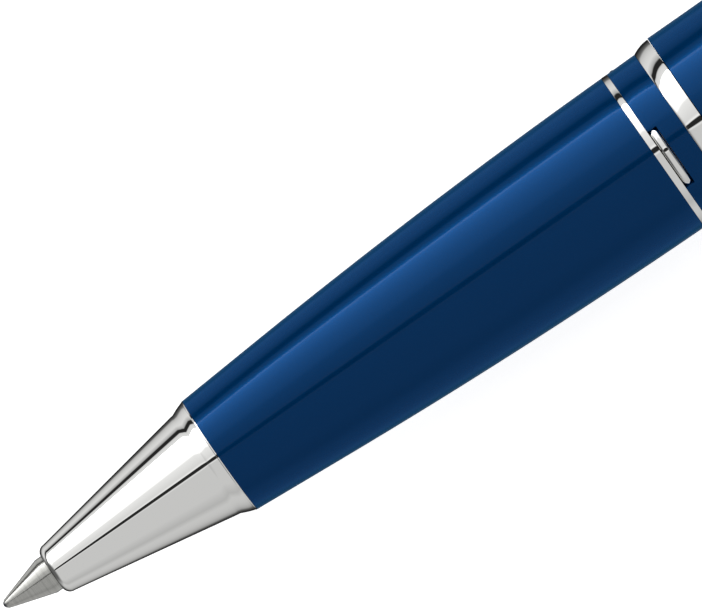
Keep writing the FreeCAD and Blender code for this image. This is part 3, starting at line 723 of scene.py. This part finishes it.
@dataclass
class Cap:
    """The cap: lacquered shell between two chrome rings, its head, its finial and its clip."""

    shop: Workshop
    mouth: float = 84.0
    mouth_bore: float = 6.18
    seat: tuple[float, float] = (85.95, 86.85)
    seat_r: float = 6.36
    ring_r: float = 7.10
    ring_end: float = 88.2
    shell_r: float = 6.98
    shell_end: float = 139.5
    top_ring_end: float = 142.0
    head_r: float = 6.3
    head_end: float = 146.8
    finial_end: float = 150.6
    clip_roll: float = 125.0
    clip_half: float = 2.2
    clip_tip_half: float = 1.5
    clip_taper: tuple[float, float] = (101.0, 138.0)
    clip_edge: float = 0.3
    tongue_size: tuple[float, float, float] = (3.36, 3.0, 4.6)
    tongue_middle: tuple[float, float, float] = (144.4, 0.0, 5.1)
    tongue_edge: float = 0.15

    def make_mouth(self) -> None:
        """The mouth ring, with the seat inside that the three lugs snap into, and one engraved line."""
        groove, depth, lip = self.ring_end - 0.9, 0.07, 0.35
        outline = [(self.mouth, self.mouth_bore), (self.mouth, self.ring_r - lip)]
        outline += arc((self.mouth, self.ring_r - lip), (self.mouth + lip, self.ring_r), lip)
        outline += [(groove, self.ring_r), (groove + 0.04, self.ring_r - depth)]
        outline += [(groove + 0.12, self.ring_r - depth), (groove + 0.16, self.ring_r)]
        outline += [(self.ring_end, self.ring_r), (self.ring_end, self.mouth_bore)]
        front, rear = self.seat
        outline += [(rear, self.mouth_bore), (rear, self.seat_r), (front, self.seat_r), (front, self.mouth_bore)]
        self.shop.lathe("cap_mouth_ring", outline, Body.CAP, CHROME, "chrome_plate")

    def make_shell(self) -> None:
        """The shell, barely swelling between its rings."""
        outline = [(self.ring_end, 6.45), (self.ring_end, self.shell_r)]
        outline += arc((self.ring_end, self.shell_r), (self.shell_end, 6.86), 2400.0)
        outline += [(self.shell_end, 6.45)]
        self.shop.lathe("cap_shell", outline, Body.CAP, LACQUER, "blue_lacquer")

    def make_top(self) -> None:
        """The top ring, and the finial: a lacquered cone with a rounded rim and a low crown."""
        ring = tube(self.shell_end, self.top_ring_end, 6.2, self.ring_r)
        self.shop.lathe("cap_top_ring", ring, Body.CAP, CHROME, "chrome_plate", Edge.SOFT)
        outline = [(self.head_end, 1.5), (self.head_end, self.head_r), (148.9, 5.5)]
        outline += arc((148.9, 5.5), (149.7, 4.7), 1.2)
        outline += arc((149.7, 4.7), (self.finial_end - 0.01, 0.0), 13.0)
        outline += [(149.0, 0.0), (149.0, 1.5)]
        self.shop.lathe("cap_finial", outline, Body.CAP, LACQUER, "blue_lacquer", Edge.BROKEN)

    def clip_width(self, along: float) -> float:
        """Half the clip's width at a place along it: tapering from its root to its nose."""
        tip, root = self.clip_taper
        share = min(max((along - tip) / (root - tip), 0.0), 1.0)
        return self.clip_tip_half + (self.clip_half - self.clip_tip_half) * share

    def make_clip(self) -> None:
        """The clip: a bowed arm drawn in towards its nose, standing on a foot, with a tongue in the head."""
        arm = [(142.7, 7.1), (142.7, 7.8)]
        arm += arc((142.7, 7.8), (140.7, 8.25), 3.0, hollow=True)
        arm += [(124.0, 8.08), (108.0, 7.95)]
        arm += arc((108.0, 7.95), (105.4, 7.13), 3.2, hollow=True)
        arm += [(103.2, 7.13)]
        arm += arc((103.2, 7.13), (102.0, 7.93), 1.6)
        arm += arc((102.0, 7.93), (106.0, 9.25), 5.0)
        arm += arc((106.0, 9.25), (144.1, 9.35), 900.0)
        arm += arc((144.1, 9.35), (146.1, 7.7), 2.6)
        arm += [(146.1, 7.1)]
        work = bmesh.new()
        profile = [work.verts.new((along, -1.0, height)) for along, height in arm]
        side = bmesh.ops.contextual_create(work, geom=profile)["faces"]
        pulled = bmesh.ops.extrude_face_region(work, geom=side)["geom"]
        far = [v for v in pulled if isinstance(v, bmesh.types.BMVert)]
        bmesh.ops.translate(work, verts=far, vec=(0, 2.0, 0))
        for vert in work.verts:
            vert.co.y *= self.clip_width(vert.co.x)
        bmesh.ops.recalc_face_normals(work, faces=work.faces[:])
        long_edges = [e for e in work.edges if abs(e.verts[0].co.y) > 1 and e.verts[0].co.y * e.verts[1].co.y > 0]
        self.shop.bevel(work, long_edges, self.clip_edge, segments=4, clamp=False)
        tongue = bmesh.ops.create_cube(work, size=1.0)["verts"]
        bmesh.ops.scale(work, vec=self.tongue_size, verts=tongue)
        bmesh.ops.translate(work, vec=self.tongue_middle, verts=tongue)
        self.shop.bevel(work, [e for e in work.edges if e.verts[0] in tongue], self.tongue_edge)
        self.shop.finish_piece(work, "clip_finished", Body.CLIP, CHROME, ["clip"], "chrome_plate", self.clip_roll)

    def build(self) -> None:
        """Makes the cap's pieces, and dresses those that stay."""
        self.make_mouth()
        self.make_shell()
        self.make_top()
        self.make_clip()
        for node, finish in (("cap_head", CHROME), ("cap_liner", BRASS), ("inner_cap", BLACK_PLASTIC),
                             ("cap_screw", SCREW_STEEL), ("clip_pin", SCREW_STEEL),
                             ("clip_spring", SPRING_STEEL)):
            self.shop.dress(node, finish)


# ---------------------------------------------------------------- studio


@dataclass
class Studio:
    """A light tent of long soft panels round the pen, a pale floor and the camera over it."""

    axis: Axis
    lens_mm: float = 759.0
    reach_mm: float = 987.0
    over_mm: float = 53.4
    aim_mm: tuple[float, float] = (30.5, 3.2)
    lean_deg: float = 34.93
    gain: float = 13.0
    end_level: float = 0.12
    table_half: float = 6.0
    table_glow: float = 0.72

    # brightness of the tent by angle round the pen, from -180 to 180 degrees: 0 is straight up, and
    # negative angles are on the +Y side. The slit at 0 is where the camera looks in, and the one at -95
    # is between the panels and the table; past 147 the table is in the pen's own shadow.
    panels: tuple[tuple[float, float], ...] = (
        (-180, 0.30), (-148, 0.30), (-143.5, 0.36), (-138, 0.86), (-112, 0.82), (-106, 0.62), (-100.4, 0.42),
        (-99.4, 0.02), (-89.4, 0.02), (-88.4, 0.70), (-84, 0.76), (-76.2, 0.86), (-75.7, 13.0), (-74.9, 13.0),
        (-74.4, 3.1), (-67, 2.5), (-53, 1.75), (-41, 1.40), (-31, 1.18), (-29, 0.90), (-9, 0.74), (-5.5, 1.0),
        (-5.0, 0.02), (1.7, 0.02), (2.2, 0.92), (5.5, 0.62), (60, 0.62), (85, 0.50), (99, 0.63), (140, 0.66),
        (149, 0.32), (180, 0.30),
    )

    def light(self) -> None:
        """The tent: the world's brightness by the angle of a direction round the pen's axis."""
        world = bpy.data.worlds.new("light_tent")
        bpy.context.scene.world = world
        world.use_nodes = True
        tree = world.node_tree
        background = tree.nodes["Background"]
        place = add_node(tree, "ShaderNodeTexCoord")
        parts = add_node(tree, "ShaderNodeSeparateXYZ", {"Vector": place.outputs["Generated"]})
        flip = add_node(tree, "ShaderNodeMath", {"0": parts.outputs["Y"]}, operation="MULTIPLY", in_1=-1.0)
        angle = add_node(tree, "ShaderNodeMath", {"0": flip.outputs[0], "1": parts.outputs["Z"]},
                         operation="ARCTAN2")
        share = add_node(tree, "ShaderNodeMapRange", {"Value": angle.outputs[0]},
                         in_From_Min=-math.pi, in_From_Max=math.pi)
        ramp = add_node(tree, "ShaderNodeValToRGB", {"Fac": share.outputs["Result"]})
        stops = ramp.color_ramp.elements
        stops.remove(stops[1])
        for number, (angle_deg, level) in enumerate(self.panels):
            where = (angle_deg + 180) / 360
            stop = stops.new(where) if number else stops[0]
            tone = level / self.gain
            stop.color = (tone, tone, tone, 1.0)
        ahead = add_node(tree, "ShaderNodeMath", {"0": parts.outputs["X"]}, operation="ABSOLUTE")
        end_on = add_node(tree, "ShaderNodeMapRange", {"Value": ahead.outputs[0]},
                          in_From_Min=0.72, in_From_Max=0.94)
        even = self.end_level / self.gain
        mixed = add_node(tree, "ShaderNodeMix", {"0": end_on.outputs["Result"], "6": ramp.outputs["Color"]},
                         data_type="RGBA", in_7=(even, even, even, 1.0))
        tree.links.new(mixed.outputs[2], background.inputs["Color"])
        background.inputs["Strength"].default_value = self.gain

    def floor(self) -> None:
        """A wide white table top that glows a little, so that it stays even under the pen."""
        work = bmesh.new()
        bmesh.ops.create_grid(work, x_segments=1, y_segments=1, size=self.table_half)
        mesh = bpy.data.meshes.new("table_top")
        work.to_mesh(mesh)
        work.free()
        top = bpy.data.objects.new("table_top", mesh)
        bpy.context.collection.objects.link(top)
        material = bpy.data.materials.new("white_backlit_acrylic")
        material.use_nodes = True
        shader = material.node_tree.nodes["Principled BSDF"]
        shader.inputs["Base Color"].default_value = linear("#E8E8E8")
        shader.inputs["Roughness"].default_value = 0.8
        shader.inputs["Emission Color"].default_value = linear("#FFFFFF")
        shader.inputs["Emission Strength"].default_value = self.table_glow
        top.data.materials.append(material)
        top.visible_glossy = False

    def camera(self) -> None:
        """A long lens high over the pen, rolled so that the pen climbs from lower left to upper right."""
        eye = self.axis.apex + Vector((self.over_mm, 0, self.reach_mm)) * MM
        aim = self.axis.apex + Vector((*self.aim_mm, 0)) * MM
        lean = math.radians(self.lean_deg)
        ahead = (aim - eye).normalized()
        up = Vector((math.sin(lean), math.cos(lean), 0))
        up = (up - ahead * up.dot(ahead)).normalized()
        right = ahead.cross(up)
        turn = Matrix((right, up, -ahead)).transposed().to_4x4()
        data = bpy.data.cameras.new("camera")
        data.lens = self.lens_mm
        data.sensor_width = 36.0
        data.clip_start, data.clip_end = 0.1, 20.0
        holder = bpy.data.objects.new("camera", data)
        bpy.context.collection.objects.link(holder)
        holder.matrix_world = Matrix.Translation(eye) @ turn
        bpy.context.scene.camera = holder
        bpy.context.scene.view_settings.view_transform = "Standard"

    def build(self) -> None:
        """Sets the light, the floor and the camera."""
        self.light()
        self.floor()
        self.camera()


def corners(box: Iterable[Vector]) -> list[list[float]]:
    """A box's two corners as plain lists."""
    return [[float(part) for part in corner] for corner in box]


def main() -> None:
    """Builds the studio and the pen, piece by piece, and logs how many pieces were made."""
    logging.basicConfig(level=logging.INFO, format="%(name)s: %(message)s")
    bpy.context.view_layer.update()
    axis = Axis.from_frame()
    Studio(axis).build()
    shop = Workshop(axis)
    for assembly in (Refill(shop), Section(shop), Barrel(shop), Cap(shop)):
        assembly.build()
    log.info("%d pieces made", len(shop.made))


if __name__ == "__main__":
    main()
